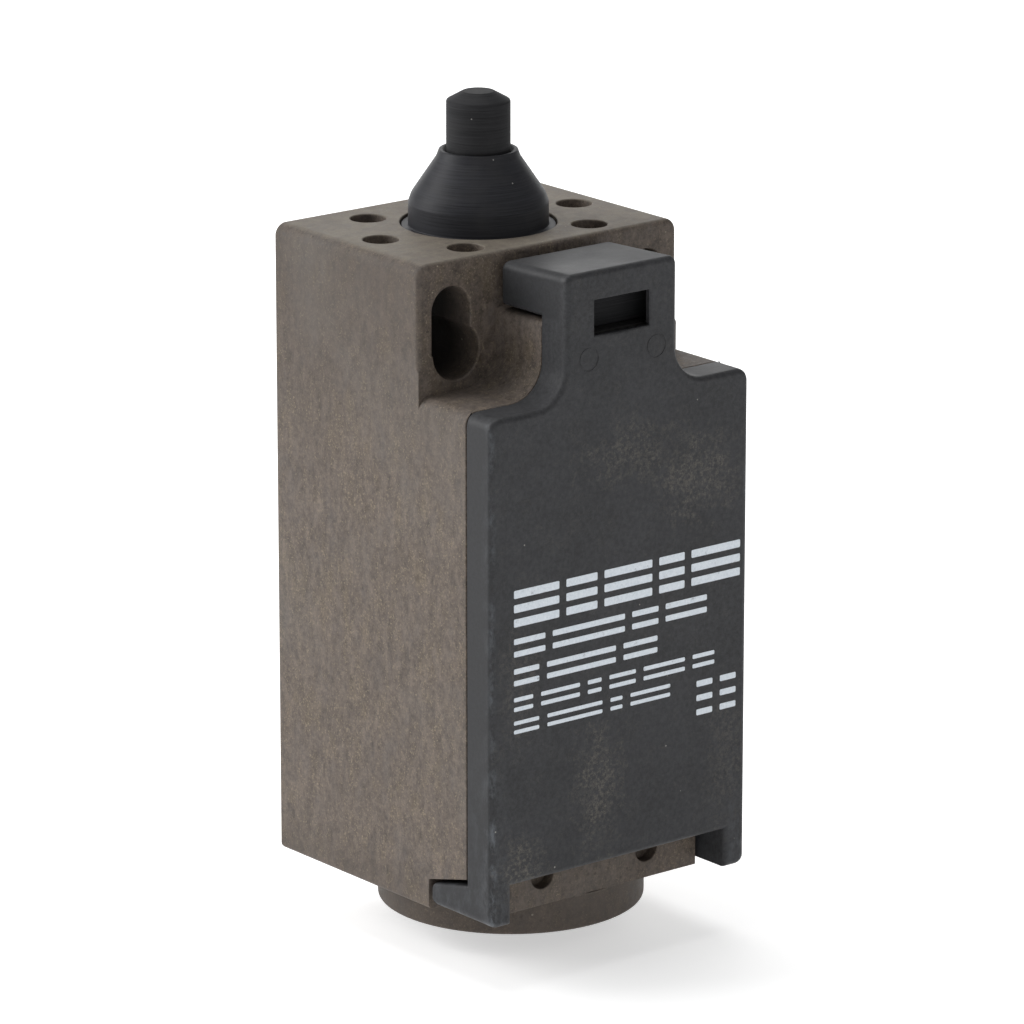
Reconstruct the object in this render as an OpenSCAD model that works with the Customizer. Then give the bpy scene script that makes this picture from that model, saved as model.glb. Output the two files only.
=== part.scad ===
// Plunger limit switch in a narrow moulded case (30 mm body, two mounting holes, M20 entry).
// Frame: +Z up along the plunger, the hinged cover faces -Y, the mounting back faces +Y.
// The origin is the centre of the entry collar's lower face.

/* [Case] */
// Width of the case
case_w = 30; // [29:0.5:32]
// Height of the case without its entry collar
case_h = 60; // [58:0.5:64]
// Front to back, cover included
case_d = 31.8; // [31:0.1:33]
// Depth of the closed cover in front of the case
cover_d = 3.6; // [3.5:0.1:4.5]
// Depth of the case from its back to the mounting faces
mount_d = 21.45; // [21:0.05:22]
// Wall thickness of the case
wall = 2.35; // [2:0.05:2.5]
// Radius of the case's corners seen from the front
corner_r = 1.2; // [0.8:0.1:1.6]
// Radius of the two corners at its bottom
base_corner_r = 0.5; // [0.3:0.1:1.2]

/* [Entry] */
// Radius of the threaded entry at its crests
entry_r = 9.2; // [9:0.05:9.3]
// Outer radius of the entry collar
collar_r = 12.4; // [12:0.05:13]
// Height of the entry collar
collar_h = 3.3; // [3:0.1:4]

/* [Neck and mounting holes] */
// Width of the neck between the two mounting faces
neck_w = 12.8; // [12.4:0.1:13]
// Drop from the top of the case to its shoulders
shoulder_drop = 12.05; // [12:0.05:13]
// Radius of the fillet between neck and shoulder
neck_fillet = 3.5; // [3:0.1:4]
// Distance between the round ends of the two mounting holes
hole_pitch = 21.3; // [20:0.1:21.5]
// Drop from the top of the case to the round ends
hole_drop = 8.5; // [8.3:0.1:8.8]
// Radius of the round ends
hole_r = 2.6; // [2.5:0.05:2.7]
// Width of the slots above the round ends
slot_w = 4.3; // [4.2:0.1:4.6]
// Distance between the slots
slot_pitch = 22.5; // [22:0.1:22.6]
// Height of the slots' upper arc centre above the round ends
slot_rise = 3.95; // [3.5:0.05:4.1]

/* [Plunger] */
// Distance from the back of the case to the plunger's axis
plunger_back = 11.2; // [11:0.05:11.4]
// Radius of the plunger
plunger_r = 2.95; // [2.9:0.05:3]
// Height of the plunger's tip above the case
plunger_rise = 12.15; // [12:0.05:13]
// Travel of the plunger
plunger_travel = 5; // [3:0.5:5]
// Travel of the contact carrier
carrier_travel = 2; // [1.2:0.1:2]
// Height of the cone's tip above the case
cone_rise = 6.8; // [6.6:0.1:7.2]

/* [Hidden] */
$fn = 48;

eps = 0.01;
half_w = case_w / 2;
back_y = case_d / 2;
front_y = -case_d / 2;
part_y = front_y + cover_d;
mount_y = back_y - mount_d;
base_z = collar_h;
top_z = base_z + case_h;
shoulder_z = top_z - shoulder_drop;
neck_top_z = top_z - 5;
axis_y = back_y - plunger_back;

// Blind holes in the top face
head_hole_r = 1.65;
head_hole_depth = 1;
head_hole_pitch = 14.35;
head_hole_span = 22.5;

// Inside of the case
floor_z = base_z + 6.7;
cavity_back_y = back_y - wall;

// Cover
cover_low_z = base_z + 4.2;
hood_top_z = top_z - 0.4;
hood_low_z = neck_top_z + 0.45;
hood_back_y = mount_y - 0.95;
cover_gap = 0.05;
cover_rear_y = part_y - cover_gap;
cover_plate = 1.6;
cover_rim = 1.2;
cover_inner_y = front_y + cover_plate;
foot_w = 2.4;
foot_low_z = base_z + 0.5;
foot_back_y = -7.15;
foot_r = 0.7;
foot_corner_r = 0.9;
hood_r = 0.8;
relief_half_w = 7.5;
slot_half_w = 3.2;
slot_h = 3.3;
slot_depth = 0.55;
latch_h = 0.2;
hinge_y = -8.4;
hinge_z = base_z + 1.65;
hinge_r = 0.8;
hinge_l = 1.6;
notch_w = 2.9;
notch_back_y = -6.8;

// Plunger guide and its seat
seat_r = 7.2;
seat_z = top_z - 2.5;
guide_bore_r = plunger_r + 0.05;
guide_stem_r = 5.5;
shelf_z = top_z - 5.5;
guide_low_z = top_z - 6.9;
cone_base_z = top_z + 1.95;
cone_top_z = top_z + cone_rise;
tip_z = top_z + plunger_rise;
flange_top_z = guide_low_z - 0.1;
flange_low_z = flange_top_z - 1.7;
stem_low_z = flange_low_z - 4.8;
stem_bore_r = 1.35;
stem_bore_z = stem_low_z + 3.5;

// Contact block
block_half_w = half_w - wall - 0.2;
block_low_z = base_z + 9.1;
block_top_z = flange_low_z - plunger_travel - 2.4;
block_back_y = cavity_back_y - 0.1;
block_front_y = -3.2;
chamber_half_w = 9.4;
chamber_low_z = block_low_z + 2.9;
chamber_top_z = block_top_z - 2.4;
chamber_front_y = block_front_y + 2;
chamber_back_y = block_back_y - 2;
nc_z = 40.65;
no_z = 21.95;
rail_t = 0.8;
rail_x = 10.2;
plate_y = -5.6;
terminal_x = 7.8;
terminal_half_h = 3;
tip_x = 7;
tip_r = 1.2;
tip_t = 0.5;
bridge_t = 0.6;
contact_gap = 0.05;

// Contact carrier
carrier_top_z = block_top_z - 0.6;
carrier_low_z = 20.5;
carrier_half_w = 3;
carrier_half_d = 2;
window_half_d = 1.25;
window_h = 5;

screw_shank_r = 1.7;
screw_head_r = 3.1;
washer_t = 1.2;
block_screw_r = 1.25;

// Extrudes an outline drawn in X and Z from y0 to y1.
module along_y(y0, y1) {
    translate([0, y1, 0]) rotate([90, 0, 0]) linear_extrude(y1 - y0) children();
}

// A rectangle between two corners with round corners of radius r.
module round_rect(low, high, r) {
    size = high - low;
    translate(low + [r, 0]) square([size.x - 2 * r, size.y]);
    translate(low + [0, r]) square([size.x, size.y - 2 * r]);
    for (x = [low.x + r, high.x - r], z = [low.y + r, high.y - r])
        translate([x, z]) circle(r);
}

// Outline of the cover and of the front of the case: a block with a narrower neck above it.
module necked_outline(inset, z_low, z_top, r, top_r = 0.8) {
    neck = neck_w / 2 - inset;
    shoulder = shoulder_z - inset;
    fillet = neck_fillet + inset;
    round_rect([-half_w + inset, z_low], [half_w - inset, shoulder], r);
    round_rect([-neck, shoulder - 3 * top_r], [neck, z_top], top_r);
    for (side = [-1, 1]) mirror([side < 0 ? 1 : 0, 0]) difference() {
        translate([neck - eps, shoulder - eps]) square(fillet + eps);
        translate([neck_w / 2 + neck_fillet, shoulder_z + neck_fillet]) circle(fillet);
    }
}

// The two mounting holes: a round end with a narrower slot above it.
module mounting_holes() {
    for (side = [-1, 1]) {
        translate([side * hole_pitch / 2, 0, top_z - hole_drop]) rotate([90, 0, 0])
            cylinder(r = hole_r, h = 2 * case_d, center = true);
        translate([side * slot_pitch / 2, 0, top_z - hole_drop]) {
            translate([0, 0, slot_rise]) rotate([90, 0, 0])
                cylinder(r = slot_w / 2, h = 2 * case_d, center = true);
            translate([-slot_w / 2, -case_d, 0]) cube([slot_w, 2 * case_d, slot_rise]);
        }
    }
}

// Blind holes in the top face, round the plunger.
module head_hole(x, y) {
    translate([x, axis_y + y, top_z - head_hole_depth])
        cylinder(r = head_hole_r, h = 2 * head_hole_depth);
}

module head_holes() {
    for (side = [-1, 1]) {
        head_hole(side * head_hole_span / 2, 0);
        for (end = [-1, 1]) head_hole(side * head_hole_pitch / 2, end * head_hole_pitch / 2);
    }
}

// Open notch in a lower front corner, with a rising ceiling that lets the cover's foot turn.
module foot_notch() {
    translate([half_w - notch_w, 0, 0]) rotate([90, 0, 90]) linear_extrude(notch_w + 1)
        polygon([
            [notch_back_y, base_z - 1], [notch_back_y, base_z + 2.95],
            [part_y - 0.2, base_z + 4.4], [part_y - 0.2, base_z - 1]
        ]);
    translate([half_w - notch_w - hinge_l - 0.2, hinge_y, hinge_z]) rotate([0, 90, 0])
        cylinder(r = hinge_r + 0.08, h = hinge_l + 1);
}

// Low nose on the neck that the rear wall of the cover's hood snaps behind.
module latch_nose() {
    translate([-3, 0, neck_top_z - eps]) rotate([90, 0, 90]) linear_extrude(6) polygon([
        [hood_back_y - 2.7, 0], [hood_back_y - 2.1, latch_h + eps],
        [hood_back_y - 1.5, latch_h + eps], [hood_back_y - 1.4, 0]
    ]);
}

module housing() {
    color([0.37, 0.33, 0.3]) difference() {
        union() {
            along_y(mount_y, back_y)
                round_rect([-half_w, base_z], [half_w, top_z], corner_r);
            along_y(part_y, mount_y + eps)
                necked_outline(0, base_z, neck_top_z, corner_r);
            // the bottom's smaller corners
            along_y(part_y, back_y)
                round_rect([-half_w, base_z], [half_w, base_z + 8], base_corner_r);
            cylinder(r = collar_r, h = collar_h + eps, $fn = 96);
            latch_nose();
        }
        along_y(part_y - 1, mount_y + 2)
            necked_outline(wall, floor_z, neck_top_z - wall, 0.8);
        along_y(mount_y, cavity_back_y)
            round_rect([-half_w + wall, floor_z], [half_w - wall, shoulder_z - wall], 0.8);
        translate([0, 0, -1]) cylinder(r = entry_r, h = floor_z + 2, $fn = 96);
        translate([0, axis_y, shelf_z]) cylinder(r = guide_stem_r + 0.05, h = 10);
        translate([0, axis_y, seat_z]) cylinder(r = seat_r, h = 10, $fn = 72);
        translate([0, axis_y, shoulder_z - wall - 1])
            cylinder(r = 6.4, h = shelf_z - shoulder_z + wall + 1);
        mounting_holes();
        head_holes();
        foot_notch();
        mirror([1, 0, 0]) foot_notch();
        // witness pockets below the cover's lower edge
        for (x = [-6.15, 6.15]) translate([x, part_y + 1.2, base_z + 2.9]) rotate([90, 0, 0])
            cylinder(r = 1.3, h = 3);
        // pocket for a screwdriver behind the cover's slot
        translate([-3.6, part_y - 1, neck_top_z - 1]) cube([7.2, 3.9, 3]);
        // pilot holes for the contact block's screws
        for (p = block_screw_points()) translate([p.x, cavity_back_y + 1.7, p.y])
            rotate([90, 0, 0]) cylinder(r = block_screw_r + 0.05, h = 3);
    }
}

// Side outline of a cover foot, drawn in Y and Z, with a rounded heel.
module foot_side() {
    heel_top = base_z + 2.8;
    heel_y = foot_back_y - foot_r;
    polygon([
        [heel_y, foot_low_z], [front_y, foot_low_z], [front_y, cover_low_z + 3],
        [cover_rear_y, cover_low_z + 3], [cover_rear_y, base_z + 3.8], [heel_y, heel_top]
    ]);
    translate([heel_y - eps, foot_low_z + foot_r])
        square([foot_r + eps, heel_top - foot_low_z - 2 * foot_r]);
    for (z = [foot_low_z + foot_r, heel_top - foot_r]) translate([heel_y, z]) circle(foot_r);
}

// Front outline of a cover foot, drawn in X and Z, with a round outer corner.
module foot_front() {
    leg = [half_w - foot_w, foot_low_z];
    corner = [half_w, foot_low_z] + [-foot_corner_r, foot_corner_r];
    translate(leg) square([foot_w - foot_corner_r, 8]);
    translate(leg + [0, foot_corner_r]) square([foot_w, 8]);
    translate(corner) circle(foot_corner_r);
}

module cover_foot() {
    intersection() {
        translate([half_w - foot_w, 0, 0]) rotate([90, 0, 90]) linear_extrude(foot_w)
            foot_side();
        along_y(front_y, 0) foot_front();
    }
    translate([half_w - foot_w - hinge_l, hinge_y, hinge_z]) rotate([0, 90, 0])
        cylinder(r = hinge_r, h = hinge_l + eps);
}

module cover() {
    color([0.17, 0.17, 0.18]) difference() {
        union() {
            along_y(front_y, cover_rear_y)
                necked_outline(0, cover_low_z, hood_top_z, corner_r, hood_r);
            along_y(cover_rear_y - eps, hood_back_y) difference() {
                half = neck_w / 2;
                round_rect([-half, hood_low_z - 2], [half, hood_top_z], hood_r);
                translate([-neck_w, hood_low_z - 3]) square([2 * neck_w, 3]);
            }
            cover_foot();
            mirror([1, 0, 0]) cover_foot();
        }
        // hollow behind the plate, which keeps a rim all round
        along_y(cover_inner_y, part_y + 1)
            necked_outline(cover_rim, cover_low_z + cover_rim, hood_low_z, 0.4);
        // inside of the hood, open downwards over the neck
        translate([-neck_w / 2 + cover_rim, cover_inner_y, hood_low_z - 1])
            cube([
                neck_w - 2 * cover_rim, hood_back_y - cover_rim - cover_inner_y,
                hood_top_z - hood_low_z - cover_rim + 1
            ]);
        // relief in the lower rim, which lets the open cover pass the collar
        translate([-relief_half_w, 0, 0]) rotate([90, 0, 90])
            linear_extrude(2 * relief_half_w) polygon([
                [cover_inner_y - 1, cover_low_z - eps], [cover_inner_y, cover_low_z + 1],
                [cover_inner_y, cover_low_z + cover_rim + eps],
                [part_y + 1, cover_low_z + cover_rim + eps], [part_y + 1, cover_low_z - eps]
            ]);
        // slot for the screwdriver that lifts the cover off its latch
        translate([-slot_half_w, front_y - 1, hood_low_z - slot_h / 2])
            cube([2 * slot_half_w, 3, slot_h]);
        translate([-slot_half_w - 1.1, front_y + slot_depth, hood_low_z - slot_h / 2 - 0.6])
            cube([2 * slot_half_w + 2.2, 3, slot_h + 1.5]);
        // witness rings of the mould
        for (x = [-3.9, 3.9]) translate([x, front_y + 0.1, hood_low_z - 3.6])
            rotate([90, 0, 0]) difference() {
                cylinder(r = 1.15, h = 1);
                translate([0, 0, -1]) cylinder(r = 0.95, h = 3);
            }
    }
}

module cover_gasket() {
    low = cover_low_z;
    color([0.12, 0.12, 0.12]) along_y(cover_inner_y + eps, part_y - 0.02) difference() {
        necked_outline(1.3, low + 1.8, neck_top_z - 1.3, 0.6);
        necked_outline(2.15, low + 2.55, neck_top_z - 2.15, 0.5);
    }
}

module plunger_guide() {
    color([0.13, 0.13, 0.14]) translate([0, axis_y, 0]) rotate_extrude($fn = 96) difference() {
        polygon([
            [guide_bore_r, guide_low_z], [guide_stem_r - 0.2, guide_low_z],
            [guide_stem_r - 0.2, guide_low_z + 0.6], [guide_stem_r - 0.5, guide_low_z + 0.6],
            [guide_stem_r - 0.5, shelf_z - 0.05], [guide_stem_r, shelf_z - 0.05],
            [guide_stem_r, seat_z + 0.9], [guide_stem_r + 1, seat_z + 0.9],
            [guide_stem_r + 1, seat_z], [seat_r - 0.1, seat_z],
            [seat_r - 0.1, top_z - 0.2], [6.4, top_z - 0.2],
            [6.4, cone_base_z], [4, cone_top_z - 0.7],
            [3.75, cone_top_z - 0.25], [3.5, cone_top_z],
            [guide_bore_r + 0.3, cone_top_z], [guide_bore_r, cone_top_z - 0.35]
        ]);
        // groove of the plunger's seal
        translate([0, seat_z - 0.7]) square([4.2, 1.5]);
    }
}

module guide_o_ring() {
    color([0.1, 0.1, 0.1]) translate([0, axis_y, seat_z + 0.45])
        rotate_extrude($fn = 72) translate([guide_stem_r + 0.5, 0]) circle(0.43);
}

module guide_retaining_ring() {
    color([0.62, 0.62, 0.64]) translate([0, axis_y, guide_low_z + 0.65]) difference() {
        cylinder(r = 6.2, h = 0.65);
        translate([0, 0, -1]) cylinder(r = guide_stem_r - 0.47, h = 3);
        translate([-0.9, 0, -1]) cube([1.8, 8, 3]);
    }
}

module plunger_seal() {
    low = seat_z - 0.65;
    inner = plunger_r + 0.03;
    color([0.1, 0.1, 0.1]) translate([0, axis_y, 0]) rotate_extrude($fn = 72) polygon([
        [inner + 0.3, low], [4.15, low], [4.15, low + 1.4], [inner + 0.3, low + 1.4],
        [inner, low + 1.15], [inner + 0.2, low + 0.7], [inner, low + 0.25]
    ]);
}

module plunger() {
    color([0.15, 0.15, 0.16]) translate([0, axis_y, 0]) rotate_extrude($fn = 72) polygon([
        [0, stem_bore_z], [stem_bore_r, stem_bore_z], [stem_bore_r, stem_low_z],
        [1.9, stem_low_z], [1.9, flange_low_z], [4.6, flange_low_z],
        [4.6, flange_top_z], [plunger_r, flange_top_z], [plunger_r, tip_z - 1],
        [1.42, tip_z], [0, tip_z]
    ]);
}

// A round wire wound on radius r from z0 to z1; its ends lie inside that height.
module coil(r, wire, z0, z1, turns) {
    steps = 14;
    sides = 6;
    rings = round(turns * steps);
    rise = z1 - z0 - 2 * wire;
    function ring(i) = let (a = 360 * i / steps, z = z0 + wire + rise * i / rings) [
        for (s = [0 : sides - 1]) let (b = 360 * s / sides)
            [(r + wire * cos(b)) * cos(a), (r + wire * cos(b)) * sin(a), z + wire * sin(b)]
    ];
    points = [for (i = [0 : rings]) each ring(i)];
    walls = [
        for (i = [0 : rings - 1], s = [0 : sides - 1])
            let (t = (s + 1) % sides, a = i * sides, b = a + sides)
            each [[a + s, b + s, b + t], [a + s, b + t, a + t]]
    ];
    first = [[for (s = [0 : sides - 1]) s]];
    last = [[for (s = [sides - 1 : -1 : 0]) rings * sides + s]];
    translate([0, axis_y, 0]) polyhedron(points, concat(walls, first, last));
}

module return_spring() {
    color([0.7, 0.7, 0.72]) coil(3.7, 0.32, block_top_z, flange_low_z, 3.25);
}

module drive_spring() {
    color([0.7, 0.7, 0.72]) coil(1.05, 0.16, carrier_top_z - 2.3, stem_bore_z, 9);
}

module carrier_spring() {
    color([0.7, 0.7, 0.72]) coil(1.5, 0.2, chamber_low_z, carrier_low_z, 4);
}

module nc_contact_spring() {
    color([0.7, 0.7, 0.72])
        coil(0.85, 0.15, nc_bridge_z() + bridge_t - window_h, nc_bridge_z(), 5);
}

module no_contact_spring() {
    color([0.7, 0.7, 0.72])
        coil(0.85, 0.15, no_bridge_z() + bridge_t, no_bridge_z() + window_h, 5);
}

// Lower faces of the two moving bridges, with the plunger at rest.
function nc_bridge_z() = nc_z - 2 * tip_t - contact_gap - bridge_t;
function no_bridge_z() = no_z + 2 * tip_t + contact_gap + carrier_travel;

// Centres of the contact block's screws, in X and Z.
function block_screw_points() = [
    [-block_half_w + 1.9, block_top_z - 1.9], [block_half_w - 1.9, block_low_z + 1.9]
];

module contact_carrier() {
    color([0.86, 0.85, 0.8]) translate([0, axis_y, 0]) difference() {
        union() {
            translate([-carrier_half_w, -carrier_half_d, carrier_low_z])
                cube([
                    2 * carrier_half_w, 2 * carrier_half_d,
                    chamber_top_z - 0.2 - carrier_low_z
                ]);
            translate([0, 0, carrier_top_z - 3]) cylinder(r = 2.2, h = 3);
        }
        translate([0, 0, carrier_top_z - 2.3]) cylinder(r = stem_bore_r, h = 5);
        translate([-5, -window_half_d, nc_bridge_z() + bridge_t - window_h])
            cube([10, 2 * window_half_d, window_h]);
        translate([-5, -window_half_d, no_bridge_z()])
            cube([10, 2 * window_half_d, window_h]);
    }
}

module bridge(z) {
    color([0.8, 0.6, 0.32]) translate([-8.2, axis_y - 1.1, z]) cube([16.4, 2.2, bridge_t]);
}

module tips(z) {
    color([0.8, 0.8, 0.8]) for (x = [-tip_x, tip_x])
        translate([x, axis_y, z]) cylinder(r = tip_r, h = tip_t);
}

module nc_bridge() {
    bridge(nc_bridge_z());
}

module no_bridge() {
    bridge(no_bridge_z());
}

module nc_bridge_tips() {
    tips(nc_bridge_z() + bridge_t);
}

module no_bridge_tips() {
    tips(no_bridge_z() - tip_t);
}

module fixed_contact_tips() {
    tips(nc_z - tip_t);
    tips(no_z);
}

// A folded strip: a contact tab inside the chamber, a side run and a terminal plate in front.
// z is the terminal's height and tab_z the tab's lower face; grow widens it for a clearance cut.
module rail(z, tab_z, grow = 0) {
    g = grow;
    t = rail_t + 2 * g;
    translate([5.4 - g, axis_y - 2 - g, tab_z - g])
        cube([rail_x - 5.4 + t, 4 + 2 * g, t]);
    translate([rail_x - g, plate_y - g, z - 2 - g])
        cube([t, axis_y + 2 - plate_y + 2 * g, 4 + 2 * g]);
    difference() {
        translate([4.6 - g, plate_y - g, z - terminal_half_h - g])
            cube([rail_x - 4.6 + t, t, 2 * (terminal_half_h + g)]);
        if (grow == 0) translate([terminal_x, plate_y + 2, z]) rotate([90, 0, 0])
            cylinder(r = screw_shank_r + 0.1, h = 4);
    }
}

module nc_rail(grow = 0) {
    rail(nc_z + rail_t / 2, nc_z, grow);
}

module no_rail(grow = 0) {
    rail(no_z - rail_t / 2, no_z - rail_t, grow);
}

module left() {
    mirror([1, 0, 0]) children();
}

module nc_rail_left() {
    color([0.82, 0.66, 0.36]) left() nc_rail();
}

module nc_rail_right() {
    color([0.82, 0.66, 0.36]) nc_rail();
}

module no_rail_left() {
    color([0.82, 0.66, 0.36]) left() no_rail();
}

module no_rail_right() {
    color([0.82, 0.66, 0.36]) no_rail();
}

// What the contact block's two shells leave free: chamber, plunger hole, rails and screws.
module block_voids() {
    translate([-chamber_half_w, chamber_front_y, chamber_low_z]) cube([
        2 * chamber_half_w, chamber_back_y - chamber_front_y,
        chamber_top_z - chamber_low_z
    ]);
    translate([0, axis_y, chamber_top_z - 1]) cylinder(r = 2.35, h = 5);
    nc_rail(0.1);
    no_rail(0.1);
    left() nc_rail(0.1);
    left() no_rail(0.1);
    for (p = block_screw_points()) {
        translate([p.x, block_back_y + 1, p.y]) rotate([90, 0, 0])
            cylinder(r = block_screw_r + 0.1, h = 30);
        translate([p.x, block_front_y, p.y]) rotate([90, 0, 0]) cylinder(r = 2.1, h = 5);
    }
    for (x = [-terminal_x, terminal_x], z = terminal_heights())
        translate([x, chamber_front_y - 0.2, z]) rotate([90, 0, 0])
            cylinder(r = screw_shank_r + 0.1, h = 9);
}

function terminal_heights() = [no_z - rail_t / 2, nc_z + rail_t / 2];

module block_back_shell() {
    color([0.25, 0.27, 0.3]) difference() {
        translate([-block_half_w, axis_y, block_low_z])
            cube([2 * block_half_w, block_back_y - axis_y, block_top_z - block_low_z]);
        block_voids();
    }
}

module block_front_shell() {
    tower_h = terminal_half_h + 0.4;
    color([0.3, 0.32, 0.35]) difference() {
        union() {
            translate([-block_half_w, block_front_y, block_low_z])
                cube([2 * block_half_w, axis_y - block_front_y, block_top_z - block_low_z]);
            for (side = [0, 1], z = terminal_heights()) mirror([side, 0, 0])
                translate([4.4, plate_y + rail_t + 0.1, z - tower_h])
                    cube([block_half_w - 4.4, block_front_y - plate_y - rail_t, 2 * tower_h]);
            // barrier between the left and the right terminals
            translate([-0.8, -9, no_z - tower_h])
                cube([1.6, 9 + block_front_y + eps, nc_z - no_z + 2 * tower_h]);
        }
        block_voids();
    }
}

module clamp_washers() {
    side = 6.4;
    color([0.75, 0.75, 0.77]) for (x = [-terminal_x, terminal_x], z = terminal_heights())
        translate([x, plate_y - 0.02, z]) rotate([90, 0, 0]) difference() {
            union() {
                translate([-side / 2, -side / 2, 0.5]) cube([side, side, washer_t - 0.5]);
                for (sx = [-1, 1]) translate([sx * (side / 2 - 0.5) - 0.5, -side / 2, 0])
                    cube([1, side, washer_t]);
            }
            translate([0, 0, -1]) cylinder(r = screw_shank_r + 0.1, h = 4);
        }
}

// A slotted pan-head screw along -Y whose head rests on y = 0.
module screw(head_r, head_h, shank_r, shank_l) {
    rotate([90, 0, 0]) difference() {
        union() {
            cylinder(r = head_r, h = head_h);
            translate([0, 0, -shank_l]) cylinder(r = shank_r, h = shank_l + eps);
        }
        translate([-head_r - 1, -0.4, head_h / 2]) cube([2 * head_r + 2, 0.8, head_h]);
        translate([-0.4, -head_r * 0.7, head_h / 2]) cube([0.8, head_r * 1.4, head_h]);
    }
}

module terminal_screws() {
    seat = plate_y - washer_t - 0.04;
    color([0.72, 0.72, 0.74]) for (x = [-terminal_x, terminal_x], z = terminal_heights())
        translate([x, seat, z]) screw(screw_head_r, 2.2, screw_shank_r, 5);
}

module block_screws() {
    color([0.72, 0.72, 0.74]) for (p = block_screw_points())
        translate([p.x, block_front_y - 0.02, p.y])
            screw(2, 1.4, block_screw_r, block_back_y - block_front_y + 1.5);
}

housing();
cover();
cover_gasket();
plunger_guide();
guide_o_ring();
guide_retaining_ring();
plunger_seal();
plunger();
return_spring();
drive_spring();
contact_carrier();
carrier_spring();
nc_bridge();
no_bridge();
nc_bridge_tips();
no_bridge_tips();
nc_contact_spring();
no_contact_spring();
block_back_shell();
block_front_shell();
nc_rail_left();
nc_rail_right();
no_rail_left();
no_rail_right();
fixed_contact_tips();
clamp_washers();
terminal_screws();
block_screws();
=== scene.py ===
import math

import bmesh
import bpy
from mathutils import Matrix, Vector


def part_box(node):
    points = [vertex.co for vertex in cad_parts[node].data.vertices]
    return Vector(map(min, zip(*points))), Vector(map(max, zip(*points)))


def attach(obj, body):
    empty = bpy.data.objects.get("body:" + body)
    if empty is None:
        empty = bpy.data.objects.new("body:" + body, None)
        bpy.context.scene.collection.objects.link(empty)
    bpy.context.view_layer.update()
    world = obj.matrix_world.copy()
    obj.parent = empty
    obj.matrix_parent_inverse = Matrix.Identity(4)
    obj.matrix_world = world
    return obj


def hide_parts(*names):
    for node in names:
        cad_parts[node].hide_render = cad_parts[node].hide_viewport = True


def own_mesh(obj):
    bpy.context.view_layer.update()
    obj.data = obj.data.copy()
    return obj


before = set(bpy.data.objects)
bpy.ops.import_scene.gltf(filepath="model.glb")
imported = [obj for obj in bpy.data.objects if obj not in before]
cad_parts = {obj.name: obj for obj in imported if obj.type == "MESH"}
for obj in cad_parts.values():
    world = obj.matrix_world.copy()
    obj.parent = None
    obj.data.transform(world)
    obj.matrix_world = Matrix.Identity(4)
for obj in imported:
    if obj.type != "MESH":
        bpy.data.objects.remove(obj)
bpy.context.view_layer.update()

MM = 0.001
FRONT_Y = -15.9
PART_Y = -12.3
MOUNT_Y = -5.55
BACK_Y = 15.9
TOP_Z = 63.3
BASE_Z = 3.3
AXIS_Y = 4.7
BORE_R = 9.2
THREAD_R = 10.0
COLLAR_R = 12.4
SEAT_R = 7.2  # of the cone's seat in the top face
COVER_REAR_Y = -12.35
HOOD_BACK_Y = -6.5
FLOOR_Z = -2.7  # the opened cover reaches 2.6 below the collar


# ---------------------------------------------------------------- mesh helpers

def to_object(name, verts, faces, smooth=True):
    """A mesh object from points in millimetres."""
    mesh = bpy.data.meshes.new(name)
    mesh.from_pydata([Vector(v) * MM for v in verts], [], faces)
    mesh.validate()
    if smooth:
        mesh.shade_smooth()
    obj = bpy.data.objects.new(name, mesh)
    bpy.context.scene.collection.objects.link(obj)
    return obj


def rounded(corners, steps=5):
    """Points of a closed outline given as (r, z, radius) corners, with arcs at the corners."""
    points = []
    count = len(corners)
    for i, (r, z, radius) in enumerate(corners):
        here = Vector((r, z))
        before = Vector(corners[i - 1][:2]) - here
        after = Vector(corners[(i + 1) % count][:2]) - here
        if radius <= 0 or before.length < 1e-6 or after.length < 1e-6:
            points.append((r, z))
            continue
        turn = before.angle(after)
        reach = min(radius / math.tan(turn / 2), 0.48 * before.length, 0.48 * after.length)
        start = here + before.normalized() * reach
        end = here + after.normalized() * reach
        real = reach * math.tan(turn / 2)
        centre = here + (before.normalized() + after.normalized()).normalized() * (
            math.hypot(reach, real))
        a = start - centre
        b = end - centre
        sweep = a.angle(b)
        for k in range(steps + 1):
            t = k / steps
            w = (math.sin((1 - t) * sweep), math.sin(t * sweep))
            p = centre + (a * w[0] + b * w[1]) / math.sin(sweep)
            points.append((p.x, p.y))
    return points


def lathe(name, corners, centre=(0.0, AXIS_Y), steps=144, arc=5):
    """Turns a rounded outline about a vertical axis."""
    outline = rounded(corners, arc)
    bm = bmesh.new()
    rings = []
    for r, z in outline:
        if r < 1e-6:
            rings.append([bm.verts.new((centre[0], centre[1], z))])
            continue
        rings.append([
            bm.verts.new((centre[0] + r * math.cos(2 * math.pi * k / steps),
                          centre[1] + r * math.sin(2 * math.pi * k / steps), z))
            for k in range(steps)
        ])
    for i, ring in enumerate(rings):
        other = rings[(i + 1) % len(rings)]
        if len(ring) == 1 and len(other) == 1:
            continue
        for k in range(steps):
            n = (k + 1) % steps
            if len(ring) == 1:
                bm.faces.new((ring[0], other[n], other[k]))
            elif len(other) == 1:
                bm.faces.new((ring[k], ring[n], other[0]))
            else:
                bm.faces.new((ring[k], ring[n], other[n], other[k]))
    bmesh.ops.recalc_face_normals(bm, faces=bm.faces)
    bmesh.ops.scale(bm, vec=(MM, MM, MM), verts=bm.verts)
    mesh = bpy.data.meshes.new(name)
    bm.to_mesh(mesh)
    bm.free()
    mesh.shade_smooth()
    mesh.set_sharp_from_angle(angle=math.radians(50))
    obj = bpy.data.objects.new(name, mesh)
    bpy.context.scene.collection.objects.link(obj)
    return obj


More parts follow.
